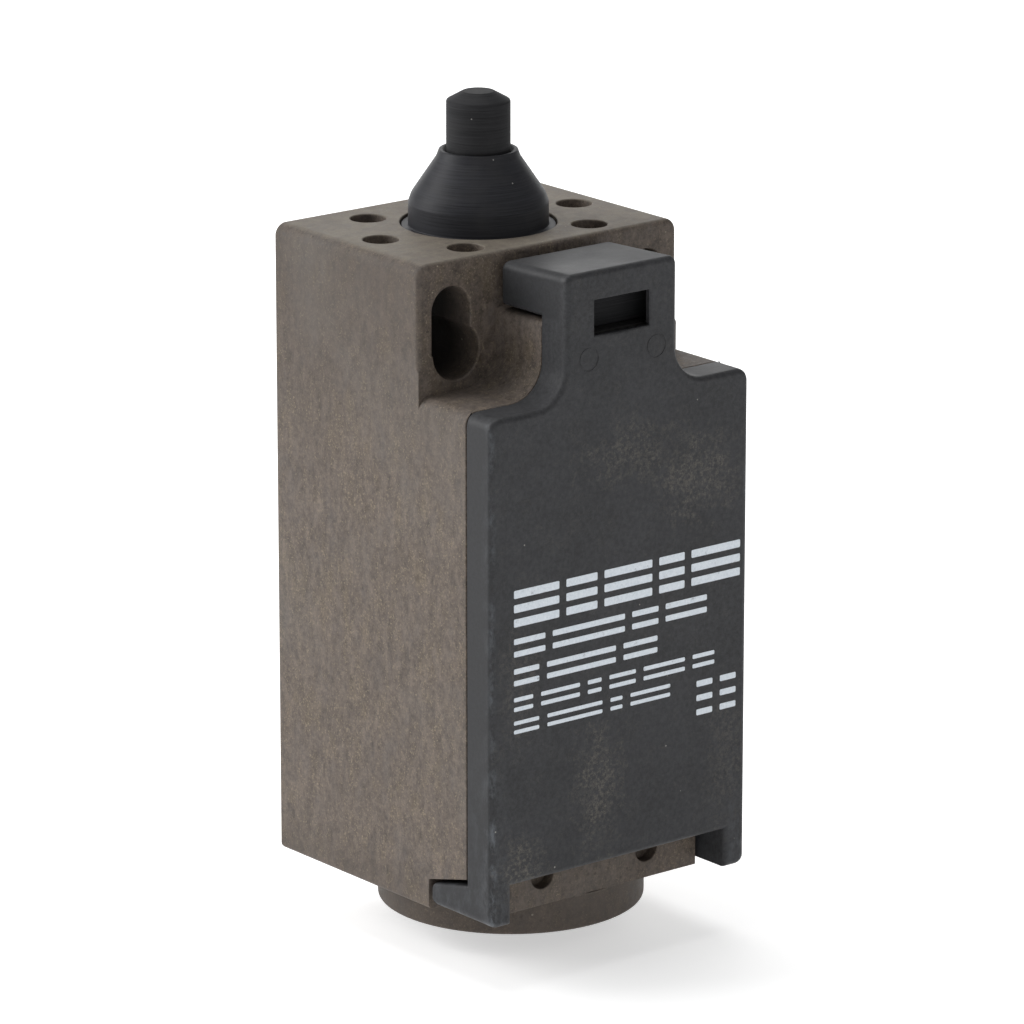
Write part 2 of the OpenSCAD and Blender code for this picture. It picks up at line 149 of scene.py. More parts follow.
def tube(name, path, wire, sides=14):
    """A round wire along a path of points, closed by rounded ends."""
    verts, faces = [], []
    count = len(path)
    points = [Vector(p) for p in path]
    up = Vector((0, 0, 1))
    stations = []
    for i, p in enumerate(points):
        ahead = (points[min(i + 1, count - 1)] - points[max(i - 1, 0)]).normalized()
        stations.append((p, ahead, wire))
    first, last = stations[0], stations[-1]
    head = [(first[0] - first[1] * wire * math.sin(a), first[1], wire * math.cos(a))
            for a in (1.4, 1.0, 0.5)]
    tail = [(last[0] + last[1] * wire * math.sin(a), last[1], wire * math.cos(a))
            for a in (0.5, 1.0, 1.4)]
    for p, ahead, radius in head + stations + tail:
        side = ahead.cross(up).normalized()
        over = side.cross(ahead).normalized()
        for s in range(sides):
            b = 2 * math.pi * s / sides
            verts.append(p + (side * math.cos(b) + over * math.sin(b)) * radius)
    rings = len(head) + count + len(tail)
    for i in range(rings - 1):
        for s in range(sides):
            t = (s + 1) % sides
            a = i * sides
            b = a + sides
            faces.append((a + s, a + t, b + t, b + s))
    faces.append(tuple(range(sides - 1, -1, -1)))
    faces.append(tuple((rings - 1) * sides + s for s in range(sides)))
    return to_object(name, verts, faces)


def spring(name, r, wire, z0, z1, turns, closed=0.8):
    """A compression spring whose end turns lie flat against their seats."""
    steps = 40
    count = int(turns * steps)
    low, high = z0 + wire, z1 - wire
    ends = min(closed, turns * 0.3)
    lead = 2 * wire * 1.06
    path = []
    for i in range(count + 1):
        t = turns * i / count
        a = 2 * math.pi * t
        if t < ends:
            z = low + lead * t * t / (2 * ends)
        elif t > turns - ends:
            z = high - lead * (turns - t) ** 2 / (2 * ends)
        else:
            rise_from = low + lead * ends / 2
            rise_to = high - lead * ends / 2
            z = rise_from + (rise_to - rise_from) * (t - ends) / (turns - 2 * ends)
        path.append((r * math.cos(a), AXIS_Y + r * math.sin(a), z))
    return tube(name, path, wire)


def clean_copy(node, cuts=()):
    """The CAD node's shape as a bmesh in millimetres, welded, with its flat faces joined.

    Each cut is (axis, place): a plane through the holes, so that no joined face has a hole in
    it. A third number leaves alone the faces that lie wholly below that height.
    """
    bm = bmesh.new()
    bm.from_mesh(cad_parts[node].data)
    bmesh.ops.scale(bm, vec=(1000, 1000, 1000), verts=bm.verts)
    bmesh.ops.remove_doubles(bm, verts=bm.verts, dist=0.002)
    for axis, at, *above in cuts:
        point, normal = Vector(), Vector()
        point[axis], normal[axis] = at, 1
        low = above[0] if above else -1e3
        faces = [f for f in bm.faces if max(v.co.z for v in f.verts) > low]
        edges = list({e: None for f in faces for e in f.edges})
        verts = list({v: None for f in faces for v in f.verts})
        bmesh.ops.bisect_plane(
            bm, geom=verts + edges + faces, dist=0.001, plane_co=point, plane_no=normal)
        for e in bm.edges:
            if all(abs(v.co[axis] - at) < 0.0015 for v in e.verts):
                e.seam = True
    bmesh.ops.dissolve_limit(
        bm, angle_limit=math.radians(0.4), use_dissolve_boundaries=False,
        verts=bm.verts, edges=bm.edges, delimit={"SEAM"})
    bmesh.ops.recalc_face_normals(bm, faces=bm.faces)
    return bm


def bevelled(name, bm, rule, widest, segments=4, sharp=22.0):
    """Turns the bmesh into an object whose edges are rounded by the radius rule(middle).

    Edges that turn by less than sharp degrees stay as they are. The bmesh is freed.
    """
    plain = bpy.data.meshes.new(name)
    bare = bmesh.new()
    index = {v: bare.verts.new(v.co) for v in bm.verts}
    for f in bm.faces:
        try:
            bare.faces.new([index[v] for v in f.verts])
        except ValueError:
            pass
    bare.normal_update()
    layer = bare.edges.layers.float.new("bevel_weight_edge")
    for e in bare.edges:
        if len(e.link_faces) != 2 or e.calc_length() < 1e-4:
            continue
        angle = math.degrees(e.calc_face_angle(0.0))
        if angle < sharp:
            continue
        middle = (e.verts[0].co + e.verts[1].co) / 2
        wide = rule(middle)
        wide *= min(1.0, angle / 70)
        e[layer] = min(1.0, wide / widest)
        if wide <= 0.004:
            e.smooth = False
    bmesh.ops.scale(bare, vec=(MM, MM, MM), verts=bare.verts)
    bare.to_mesh(plain)
    bare.free()
    bm.free()
    for p in plain.polygons:
        p.use_smooth = True
    obj = bpy.data.objects.new(name, plain)
    bpy.context.scene.collection.objects.link(obj)
    mod = obj.modifiers.new("edges", "BEVEL")
    mod.limit_method = "WEIGHT"
    mod.offset_type = "OFFSET"
    mod.width = widest * MM
    mod.segments = segments
    mod.use_clamp_overlap = False
    mod.harden_normals = True
    mod.miter_outer = "MITER_SHARP"
    return obj


def near(a, b, tol):
    return abs(a - b) < tol


# ---------------------------------------------------------------- materials

class Look:
    """A node material whose textures are laid out in millimetres of the CAD frame."""

    def __init__(self, name, metallic=0.0, specular=0.5, ior=1.5):
        self.mat = bpy.data.materials.new(name)
        self.mat.use_nodes = True
        self.tree = self.mat.node_tree
        self.tree.nodes.clear()
        out = self.node("ShaderNodeOutputMaterial")
        self.bsdf = self.node("ShaderNodeBsdfPrincipled")
        self.tree.links.new(self.bsdf.outputs["BSDF"], out.inputs["Surface"])
        self.bsdf.inputs["Metallic"].default_value = metallic
        self.bsdf.inputs["Specular IOR Level"].default_value = specular
        self.bsdf.inputs["IOR"].default_value = ior
        coord = self.node("ShaderNodeTexCoord")
        scale = self.node("ShaderNodeVectorMath")
        scale.operation = "MULTIPLY"
        scale.inputs[1].default_value = (1000, 1000, 1000)
        self.tree.links.new(coord.outputs["Object"], scale.inputs[0])
        self.mm = scale.outputs[0]
        self.normal = None

    def node(self, kind):
        return self.tree.nodes.new(kind)

    def stretched(self, stretch, offset=(0, 0, 0)):
        moved = self.node("ShaderNodeMapping")
        moved.inputs["Scale"].default_value = stretch
        moved.inputs["Location"].default_value = offset
        self.tree.links.new(self.mm, moved.inputs["Vector"])
        return moved.outputs[0]

    def noise(self, scale, stretch=None, offset=(0, 0, 0), detail=3.0, rough=0.55, warp=0.0):
        tex = self.node("ShaderNodeTexNoise")
        tex.inputs["Scale"].default_value = scale
        tex.inputs["Detail"].default_value = detail
        tex.inputs["Roughness"].default_value = rough
        tex.inputs["Distortion"].default_value = warp
        vector = self.stretched(stretch or (1, 1, 1), offset)
        self.tree.links.new(vector, tex.inputs["Vector"])
        return tex.outputs[0]

    def flecks(self, scale, size, share, offset=(0, 0, 0)):
        """Small round spots, in this share of the cells, of this radius in cells."""
        cells = self.node("ShaderNodeTexVoronoi")
        cells.inputs["Scale"].default_value = scale
        self.tree.links.new(self.stretched((1, 1, 1), offset), cells.inputs["Vector"])
        spot = self.ramp(cells.outputs["Distance"], size, size * 0.5)
        parts = self.node("ShaderNodeSeparateColor")
        self.tree.links.new(cells.outputs["Color"], parts.inputs[0])
        chosen = self.ramp(parts.outputs[0], 1 - share, 1 - share + 0.02)
        return self.math("MULTIPLY", spot, chosen)

    def ramp(self, value, low, high, out_low=0.0, out_high=1.0):
        node = self.node("ShaderNodeMapRange")
        node.inputs["From Min"].default_value = low
        node.inputs["From Max"].default_value = high
        node.inputs["To Min"].default_value = out_low
        node.inputs["To Max"].default_value = out_high
        self.tree.links.new(value, node.inputs["Value"])
        return node.outputs[0]

    def math(self, operation, a, b):
        node = self.node("ShaderNodeMath")
        node.operation = operation
        for socket, value in zip(node.inputs, (a, b)):
            if isinstance(value, (int, float)):
                socket.default_value = value
            else:
                self.tree.links.new(value, socket)
        return node.outputs[0]

    def mix(self, a, b, share):
        node = self.node("ShaderNodeMix")
        node.data_type = "RGBA"
        for socket, value in ((node.inputs[6], a), (node.inputs[7], b), (node.inputs[0], share)):
            if isinstance(value, tuple):
                socket.default_value = (*value, 1.0)
            elif isinstance(value, (int, float)):
                socket.default_value = value
            else:
                self.tree.links.new(value, socket)
        return node.outputs[2]

    def bump(self, height, distance_mm, strength=1.0):
        node = self.node("ShaderNodeBump")
        node.inputs["Strength"].default_value = strength
        node.inputs["Distance"].default_value = distance_mm * MM
        self.tree.links.new(height, node.inputs["Height"])
        if self.normal is not None:
            self.tree.links.new(self.normal, node.inputs["Normal"])
        self.normal = node.outputs[0]

    def finish(self, colour, roughness):
        self.tree.links.new(colour, self.bsdf.inputs["Base Color"])
        self.tree.links.new(roughness, self.bsdf.inputs["Roughness"])
        if self.normal is not None:
            self.tree.links.new(self.normal, self.bsdf.inputs["Normal"])
        return self.mat


def scaled(colour, factor):
    return tuple(c * factor for c in colour)


def case_plastic():
    """Brown-grey moulded plastic: glass-fibre speckle, upright flow marks, pale flecks; painted
    shade on the upper sides, in the holes and on the collar, and a painted sheen on the top.
    """
    look = Look("case_plastic", specular=0.28)
    base = (0.095, 0.0765, 0.0635)
    parts = look.node("ShaderNodeSeparateXYZ")
    look.tree.links.new(look.mm, parts.inputs[0])
    flow = look.noise(1.05, stretch=(1.0, 1.0, 0.36), detail=5, rough=0.66, warp=0.4)
    hue = look.noise(0.5, stretch=(1.0, 1.0, 0.5), detail=5, rough=0.7, offset=(12, 4, 6))
    cloud = look.noise(0.09, detail=4, rough=0.6, offset=(4, 9, 1))
    grain = look.noise(1.9, detail=4, rough=0.8)
    tone = look.mix(scaled(base, 0.62), scaled(base, 1.42), look.ramp(flow, 0.36, 0.64))
    tone = look.mix(tone, (0.098, 0.087, 0.082), look.ramp(hue, 0.34, 0.48, 0.6, 0))
    tone = look.mix(tone, (0.120, 0.093, 0.060), look.ramp(hue, 0.52, 0.66, 0, 0.70))
    tone = look.mix(tone, (0.084, 0.066, 0.052), look.ramp(cloud, 0.48, 0.68, 0, 0.5))
    speck = look.mix(scaled(base, 0.25), scaled(base, 2.2), look.ramp(grain, 0.34, 0.66))
    colour = look.mix(tone, speck, 0.42)
    sand = look.math("MULTIPLY", look.ramp(look.noise(5.5, detail=2, rough=0.6), 0.56, 0.72),
                     look.ramp(hue, 0.42, 0.56, 0.25, 0.9))
    colour = look.mix(colour, (0.235, 0.190, 0.135), sand)
    # painted shade: the outer sides are a little darker towards the top
    side = look.math("ABSOLUTE", parts.outputs[0], 0)
    outer = look.math("MULTIPLY", look.ramp(side, 14.2, 14.9),
                      look.ramp(parts.outputs[2], 40, 61))
    colour = look.mix(colour, (0.056, 0.045, 0.037), look.math("MULTIPLY", outer, 0.50))
    dust = look.ramp(look.noise(0.05, detail=5, rough=0.65, offset=(31, 7, 3)),
                     0.5, 0.72, 0, 0.22)
    colour = look.mix(colour, (0.165, 0.156, 0.145), dust)
    colour = look.mix(colour, (0.034, 0.027, 0.022), look.math(
        "MULTIPLY", look.flecks(1.3, 0.24, 0.25, (3, 1, 8)), 0.5))
    high = look.ramp(parts.outputs[2], 30, 60, 0.45, 1.0)
    colour = look.mix(colour, (0.30, 0.26, 0.19), look.math(
        "MULTIPLY", look.flecks(1.7, 0.17, 0.06, (1, 7, 2)), high))
    colour = look.mix(colour, (0.42, 0.38, 0.31), look.math(
        "MULTIPLY", look.flecks(0.5, 0.07, 0.16), 0.8))
    # painted sheen: the top face is made lighter, in patches
    top_sheen = look.math("MULTIPLY", look.ramp(parts.outputs[2], 63.1, 63.28), look.ramp(
        hue, 0.38, 0.58, 0.25, 0.60))
    colour = look.mix(colour, (0.178, 0.160, 0.126), top_sheen)
    # painted shade deep inside the mounting holes, darker further in
    hole_walls = look.math("MULTIPLY", look.ramp(side, 14.0, 13.7), look.math(
        "MULTIPLY", look.ramp(parts.outputs[2], 51.9, 52.0), look.ramp(
            parts.outputs[2], 61.7, 61.5)))
    hole_walls = look.math("MULTIPLY", hole_walls, look.ramp(side, 7.7, 7.9))
    hole_walls = look.math("MULTIPLY", hole_walls, look.ramp(parts.outputs[1], 15.75, 15.6))
    hole_shade = look.math("MULTIPLY", hole_walls, look.ramp(parts.outputs[1], -5.3, -1.5, 0.1, 0.9))
    colour = look.mix(colour, (0.012, 0.010, 0.009), hole_shade)
    # painted shade on the entry collar below the case
    colour = look.mix(colour, (0.046, 0.036, 0.029), look.ramp(
        parts.outputs[2], 3.3, 3.15, 0, 0.46))
    # the case is a little darker towards its bottom
    colour = look.mix(colour, (0.046, 0.036, 0.029), look.ramp(
        parts.outputs[2], 7.5, 5.0, 0, 0.26))
    look.bump(look.noise(1.9, detail=5, rough=0.72), 0.05, 0.6)
    look.bump(flow, 0.03, 0.5)
    rough = look.ramp(grain, 0.34, 0.66, 0.54, 0.74)
    return look.finish(colour, rough)


def cover_plastic():
    """Dark charcoal moulded plastic: dusty scuffs on its front, paler wear along its edges,
    painted shade on its sides and hood.
    """
    look = Look("cover_plastic", specular=0.20)
    base = (0.0352, 0.0357, 0.0382)
    cloud = look.noise(0.16, detail=5, rough=0.62, offset=(2, 5, 11))
    grain = look.noise(2.8, detail=4, rough=0.75)
    tone = look.mix(scaled(base, 0.86), scaled(base, 1.22), look.ramp(cloud, 0.38, 0.62))
    speck = look.mix(scaled(base, 0.30), scaled(base, 2.0), look.ramp(grain, 0.36, 0.64))
    colour = look.mix(tone, speck, 0.26)
    parts = look.node("ShaderNodeSeparateXYZ")
    look.tree.links.new(look.mm, parts.inputs[0])
    side = look.math("ABSOLUTE", parts.outputs[0], 0)
    front = look.ramp(parts.outputs[1], -15.35, -15.8)
    # wear along the upright front edges and round the foot
    rim = look.math("MULTIPLY", look.ramp(side, 14.35, 14.85), look.ramp(
        parts.outputs[1], -14.4, -15.7))
    low = look.math("MULTIPLY", look.ramp(parts.outputs[2], 22.0, 6.0), look.ramp(
        side, 12.2, 14.6))
    worn = look.ramp(look.noise(0.75, stretch=(1, 1, 0.5), detail=6, rough=0.78,
                                offset=(51, 30, 0)), 0.47, 0.68)
    wear = look.math("MULTIPLY", look.math("ADD", look.math("MULTIPLY", rim, 0.40),
                                           look.math("MULTIPLY", low, 0.30)), worn)
    colour = look.mix(colour, (0.21, 0.23, 0.255), wear)
    ragged = look.noise(0.5, detail=6, rough=0.75, offset=(17, 3, 40), warp=0.5)
    crumbs = look.ramp(look.noise(3.2, detail=4, rough=0.8, offset=(9, 2, 6)), 0.46, 0.62)
    scuff = None
    for x, z, wide, tall, strength in (
            (-2.5, 15.0, 3.6, 8.0, 0.62), (-11.5, 9.5, 3.4, 3.4, 0.70),
            (9.0, 42.5, 6.5, 5.0, 0.60), (0.5, 45.5, 7.0, 3.6, 0.48),
            (-12.0, 26.0, 3.0, 9.0, 0.30), (12.5, 15.0, 3.5, 9.0, 0.30)):
        dx = look.math("DIVIDE", look.math("SUBTRACT", parts.outputs[0], x), wide)
        dz = look.math("DIVIDE", look.math("SUBTRACT", parts.outputs[2], z), tall)
        reach = look.math("SQRT", look.math("ADD", look.math("MULTIPLY", dx, dx),
                                            look.math("MULTIPLY", dz, dz)), 0)
        patch = look.ramp(look.math("ADD", reach, look.math("MULTIPLY", ragged, -2.6)),
                          -0.35, -0.95, 0, strength)
        scuff = patch if scuff is None else look.math("MAXIMUM", scuff, patch)
    haze = look.math("MULTIPLY", look.ramp(ragged, 0.5, 0.66), 0.16)
    scuff = look.math("MULTIPLY", look.math("MAXIMUM", scuff, haze), crumbs)
    colour = look.mix(colour, (0.150, 0.138, 0.118), look.math("MULTIPLY", scuff, front))
    # painted shade: the cover's outer sides and its hood behind the front face are made darker
    side_shade = look.math("MULTIPLY", look.ramp(side, 14.80, 14.98), 0.6)
    hood = look.math("MULTIPLY", look.ramp(parts.outputs[2], 58.6, 58.9), look.ramp(
        parts.outputs[1], -15.2, -14.6, 0, 0.5))
    colour = look.mix(colour, scaled(base, 0.60), look.math("MAXIMUM", side_shade, hood))
    colour = look.mix(colour, (0.40, 0.38, 0.35), look.math(
        "MULTIPLY", look.flecks(0.6, 0.065, 0.20, (6, 6, 6)), 0.7))
    look.bump(look.noise(2.4, detail=4, rough=0.7), 0.02, 0.5)
    look.bump(cloud, 0.03, 0.3)
    rough = look.ramp(look.math("ADD", cloud, scuff), 0.3, 0.95, 0.46, 0.68)
    return look.finish(colour, rough)


def black_plastic(name, base, specular, low, high):
    """Turned black plastic: fine marks round the axis, dust."""
    look = Look(name, specular=specular)
    rings = look.noise(1.0, stretch=(0.15, 0.15, 9.0), detail=4, rough=0.7)
    cloud = look.noise(0.3, detail=4, offset=(5, 1, 2))
    tone = look.mix(scaled(base, 0.7), scaled(base, 1.5), look.ramp(rings, 0.3, 0.7))
    colour = look.mix(tone, (0.045, 0.044, 0.044), look.ramp(cloud, 0.5, 0.8, 0, 0.4))
    colour = look.mix(colour, (0.34, 0.33, 0.32), look.math(
        "MULTIPLY", look.flecks(0.9, 0.085, 0.22, (1, 4, 2)), 0.8))
    look.bump(rings, 0.012, 0.6)
    look.bump(look.noise(3.5, detail=3), 0.006, 0.5)
    rough = look.ramp(rings, 0.3, 0.7, low, high)
    return look.finish(colour, rough)


def rubber():
    """Dull black rubber."""
    look = Look("rubber", specular=0.3)
    fine = look.noise(2.6, detail=4, rough=0.7)
    colour = look.mix((0.012, 0.012, 0.012), (0.035, 0.034, 0.033), look.ramp(fine, 0.3, 0.7))
    look.bump(fine, 0.02, 0.5)
    return look.finish(colour, look.ramp(fine, 0.3, 0.7, 0.7, 0.9))


def metal(name, base, low, high, grain=2.0, stretch=None, spread=0.14):
    """A plated or drawn metal with fine marks and slight tarnish."""
    look = Look(name, metallic=1.0)
    marks = look.noise(grain, stretch=stretch, detail=5, rough=0.7)
    stain = look.noise(0.35, detail=4, offset=(8, 3, 1))
    tone = look.mix(scaled(base, 1 - spread), scaled(base, 1 + spread * 0.6),
                    look.ramp(marks, 0.3, 0.7))
    colour = look.mix(tone, scaled(base, 0.62), look.ramp(stain, 0.5, 0.78, 0, 0.55))
    look.bump(marks, 0.008, 0.5)
    return look.finish(colour, look.ramp(marks, 0.3, 0.7, low, high))


def moulded(name, base, low=0.42, high=0.6, spread=0.16):
    """A fine-grained moulded plastic."""
    look = Look(name, specular=0.45)
    fine = look.noise(3.0, detail=4, rough=0.7)
    cloud = look.noise(0.22, detail=4, offset=(3, 3, 7))
    tone = look.mix(scaled(base, 1 - spread), scaled(base, 1 + spread), look.ramp(fine, 0.3, 0.7))
    colour = look.mix(tone, scaled(base, 0.75), look.ramp(cloud, 0.45, 0.75, 0, 0.5))
    look.bump(fine, 0.015, 0.5)
    return look.finish(colour, look.ramp(cloud, 0.3, 0.7, low, high))


def print_ink():
    """Pale ink, thin enough that the plastic's grain shows through in places."""
    look = Look("print_ink", specular=0.35)
    fine = look.noise(5.0, detail=4, rough=0.7)
    wear = look.ramp(look.noise(1.3, detail=6, rough=0.75, offset=(3, 8, 2)), 0.60, 0.72, 0, 0.55)
    tone = look.mix((0.60, 0.66, 0.72), (0.76, 0.81, 0.86), look.ramp(fine, 0.3, 0.7))
    colour = look.mix(tone, (0.10, 0.105, 0.115), wear)
    look.bump(fine, 0.006, 0.4)
    return look.finish(colour, look.ramp(fine, 0.3, 0.7, 0.5, 0.68))


LOOKS = {
    "case_plastic": case_plastic(),
    "cover_plastic": cover_plastic(),
    "black_plastic": black_plastic(
        "black_plastic", (0.0240, 0.0240, 0.0255), 0.06, 0.55, 0.70),
    "cone_plastic": black_plastic(
        "cone_plastic", (0.0250, 0.0254, 0.0290), 0.12, 0.40, 0.54),
    "rubber": rubber(),
    "spring_steel": metal("spring_steel", (0.52, 0.53, 0.55), 0.24, 0.38, 3.0),
    "block_plastic": moulded("block_plastic", (0.055, 0.060, 0.068)),
    "carrier_plastic": moulded("carrier_plastic", (0.62, 0.59, 0.50), 0.38, 0.52, 0.07),
    "brass": metal("brass", (0.72, 0.50, 0.22), 0.26, 0.42, 1.6, (1, 1, 0.2)),
    "contact_silver": metal("contact_silver", (0.80, 0.79, 0.76), 0.22, 0.36, 3.0),
    "zinc_plate": metal("zinc_plate", (0.60, 0.61, 0.62), 0.28, 0.46, 1.8),
}
INK = print_ink()


def place(obj, body, slot, *nodes, look=None):
    """Gives the piece the material of its slot, hangs it from its body's empty, and hides the CAD
    nodes that it stands for.
    """
    obj.data.materials.clear()
    obj.data.materials.append(look or LOOKS[slot])
    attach(obj, body)
    if nodes:
        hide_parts(*nodes)
    return obj


# ---------------------------------------------------------------- housing

def housing_edge(p):
    """Rounding radius of a housing edge, by where it lies."""
    x, y, z = abs(p.x), p.y, p.z
    from_entry = math.hypot(p.x, p.y)
    # the entry's bore
    if from_entry < THREAD_R + 0.4 and z < 11:
        return 0.0
    # the collar's mouth is rounded, its root is not
    if z < BASE_Z + 0.1 and near(from_entry, COLLAR_R, 0.15):
        return 0.35 if z < 0.2 else 0.0
    # notches for the cover's feet
    if y < -5.4 and z < 9 and x > 11:
        return 0.06
    # ledge in front of the collar
    if y < -11.9 and z < BASE_Z + 0.1 and x < 4:
        return 0.0
    # outer ends of the fillets below the mounting faces
    if near(y, MOUNT_Y, 0.03) and 49.5 < z < 54.05 and x > 13.6:
        return 0.0
    if near(y, BACK_Y, 0.02):
        return 0.48
    if near(math.hypot(p.x, p.y - AXIS_Y), SEAT_R, 0.1):
        return 0.12
    # blind holes in the top face
    if near(z, TOP_Z, 0.01) and math.hypot(x, y - AXIS_Y) < 12.9 and y > -4.6:
        return 0.14
    # mounting faces: the outer edges, then the neck's foot and the mounting holes
    if near(y, MOUNT_Y, 0.02):
        if z > 62.05 or x > 14.9:
            return 0.5
        return 0.0 if x < 8.0 or z < 52.1 else 0.2
    if near(y, PART_Y, 0.02):
        return 0.12
    if z < BASE_Z + 0.05:
        return 0.4
    return 0.12


def make_housing():
    """The case, rounded from its CAD shape, with the bore opened for its thread."""
    cuts = [(0, 0.0), (1, 0.0)]
    cuts += [(0, side * 6.15, BASE_Z + 0.1) for side in (-1, 1)]
    cuts += [(0, side * x, 48.0) for side in (-1, 1) for x in (7.175, 11.0)]
    cuts += [(1, y, 48.0) for y in (AXIS_Y, -2.475, 11.875)]
    cuts += [(2, z) for z in (52.0, 54.0, 56.7)]
    bm = clean_copy("housing", cuts)
    # the bore is opened to the root of its thread, with a lead-in at the mouth
    for v in bm.verts:
        r = math.hypot(v.co.x, v.co.y)
        if near(r, BORE_R, 0.03) and v.co.z < 10.3:
            grow = THREAD_R / r
            if v.co.z < 0.1:
                grow = (THREAD_R + 0.35) / r
            v.co.x *= grow
            v.co.y *= grow
    obj = bevelled("housing_moulding", bm, housing_edge, 0.5, segments=4)
    return place(obj, "case", "case_plastic", "housing")


def make_thread():
    """The M20 x 1.5 thread of the entry as a helical ridge on the bore's wall."""
    pitch, steps = 1.5, 96
    z_low, z_high = 0.35, 9.55
    turns = (z_high - z_low) / pitch
    count = int(turns * steps)
    verts, faces = [], []
    shape = [(THREAD_R + 0.12, -0.72), (THREAD_R - 0.02, -0.66), (BORE_R + 0.12, -0.2),
             (BORE_R, -0.1), (BORE_R, 0.1), (BORE_R + 0.12, 0.2),
             (THREAD_R - 0.02, 0.66), (THREAD_R + 0.12, 0.72)]
    size = len(shape)
    for i in range(count + 1):
        t = i / steps
        fade = min(1.0, t / 0.6, (turns - t) / 0.6)
        fade = max(fade, 0.02)
        a = 2 * math.pi * t
        z = z_low + pitch * t
        for r, dz in shape:
            depth = max(THREAD_R - r, -0.12)
            rr = THREAD_R - depth * (fade if depth > 0 else 1)
            zz = min(max(z + dz, 0.04), 9.96)
            verts.append((rr * math.cos(a), rr * math.sin(a), zz))
    for i in range(count):
        for s in range(size):
            t = (s + 1) % size
            a = i * size
            b = a + size
            faces.append((a + s, b + s, b + t, a + t))
    faces.append(tuple(range(size)))
    faces.append(tuple(count * size + s for s in range(size - 1, -1, -1)))
    obj = to_object("entry_thread", verts, faces)
    obj.data.set_sharp_from_angle(angle=math.radians(40))
    return place(obj, "case", "case_plastic")


# ---------------------------------------------------------------- cover

def cover_edge(p):
    """Rounding radius of a cover edge, by where it lies."""
    x, y, z = abs(p.x), p.y, p.z
    # witness rings on the neck
    if near(z, 55.15, 1.3) and near(x, 3.9, 1.3) and y < -15.7:
        return 0.0
    # screwdriver slot
    if x < 4.4 and 56.4 < z < 60.7 and y < -13.5:
        if not near(y, FRONT_Y, 0.02):
            return 0.0
        return 0.26 if p.x > 3.1 or z < 57.2 else 0.1
    # hinge pins
    if y > -9.3 and z < 6.2 and x < 12.65:
        return 0.0
    if near(y, FRONT_Y, 0.02):
        return 0.55
    # hood: its rear edges, then its sides
    if z > 58 and near(y, HOOD_BACK_Y, 0.02):
        return 0.5
    if z > 58 and x > 6.3:
        return 0.3
    # feet
    if z < 8 and y > PART_Y - 0.1:
        return 0.28 if x > 13.9 else 0.0 if y > -8.3 or x < 12.55 else 0.08
    if near(y, COVER_REAR_Y, 0.02) and (x > 14.9 or z < 7.6):
        return 0.25
    # hollow behind the plate
    if -14.4 < y < -12.2:
        return 0.12
    return 0.2


def make_cover():
    """The hinged cover, rounded from its CAD shape, and a black rib inside its hood that stands
    in for the shade behind the slot.
    """
    bm = clean_copy("cover", [(0, 0.0), (0, -3.9), (0, 3.9)])
    # the hood falls a little towards its rear
    for v in bm.verts:
        if v.co.z > 61.9:
            v.co.z -= 0.044 * (v.co.y + 11.7)
        if near(v.co.y, FRONT_Y + 0.1, 0.02) and near(v.co.z, 55.15, 1.3):
            v.co.y = FRONT_Y + 0.035
    obj = bevelled("cover_moulding", bm, cover_edge, 0.55, segments=4)
    place(obj, "front_cover", "cover_plastic", "cover")
    # dark rib across the hood's hollow, behind the slot: painted shade, a black piece so that the
    # slot looks dark
    rib = bmesh.new()
    bmesh.ops.create_cube(rib, size=1.0)
    bmesh.ops.scale(rib, vec=(10.3, 0.35, 4.6), verts=rib.verts)
    bmesh.ops.translate(rib, vec=(0, -13.0, 59.38), verts=rib.verts)
    shade_rib = bevelled("hood_shade_rib", rib, lambda p: 0.08, 0.08, segments=3)
    return place(shade_rib, "front_cover", "cover_plastic", look=LOOKS["black_plastic"])


def bar(verts, faces, x0, x1, z0, z1, lift=0.018):
    """A flat printed bar with rounded ends on the cover's front."""
    r = min(0.12, (z1 - z0) / 2.2, (x1 - x0) / 2.2)
    outline = []
    for cx, cz, a0 in ((x1 - r, z1 - r, 0), (x0 + r, z1 - r, 90), (x0 + r, z0 + r, 180),
                       (x1 - r, z0 + r, 270)):
        for k in range(5):
            a = math.radians(a0 + 22.5 * k)
            outline.append((cx + r * math.cos(a), cz + r * math.sin(a)))
    start = len(verts)
    n = len(outline)
    for x, z in outline:
        verts.append((x, FRONT_Y + 0.01, z))
    for x, z in outline:
        verts.append((x, FRONT_Y - lift, z))
    faces.append(tuple(start + n + k for k in range(n)))
    faces.append(tuple(start + k for k in range(n - 1, -1, -1)))
    for k in range(n):
        m = (k + 1) % n
        faces.append((start + k, start + m, start + n + m, start + n + k))


def make_print():
    """Rows of plain striped bars where a label would be printed."""
    verts, faces = [], []

    def row(x, z0, z1, widths, gap, stripes, ink):
        step = (z1 - z0) / (stripes - 1 + ink)
        for w in widths:
            for k in range(stripes):
                low = z0 + step * k
                bar(verts, faces, x, x + w, low, low + step * ink)
            x += w + gap

    row(-12.4, 31.8, 35.2, (5.2, 3.6, 5.6, 3.0, 5.8), 0.82, 3, 0.56)
    row(-12.4, 29.0, 30.7, (3.6, 8.4, 3.1, 4.9), 0.85, 2, 0.46)
    row(-12.4, 26.3, 27.9, (2.9, 8.0, 4.0), 0.9, 2, 0.46)
    row(-12.4, 23.9, 25.2, (2.2, 4.5, 1.6, 3.1, 4.9, 2.6), 0.92, 2, 0.44)
    row(-12.4, 21.8, 23.0, (2.9, 6.4, 1.4, 4.7), 0.95, 2, 0.44)
    row(9.0, 19.3, 22.6, (1.9, 1.9), 0.9, 3, 0.42)
    obj = to_object("cover_print", verts, faces, smooth=False)
    return place(obj, "front_cover", "cover_plastic", look=INK)


# ---------------------------------------------------------------- plunger and guide

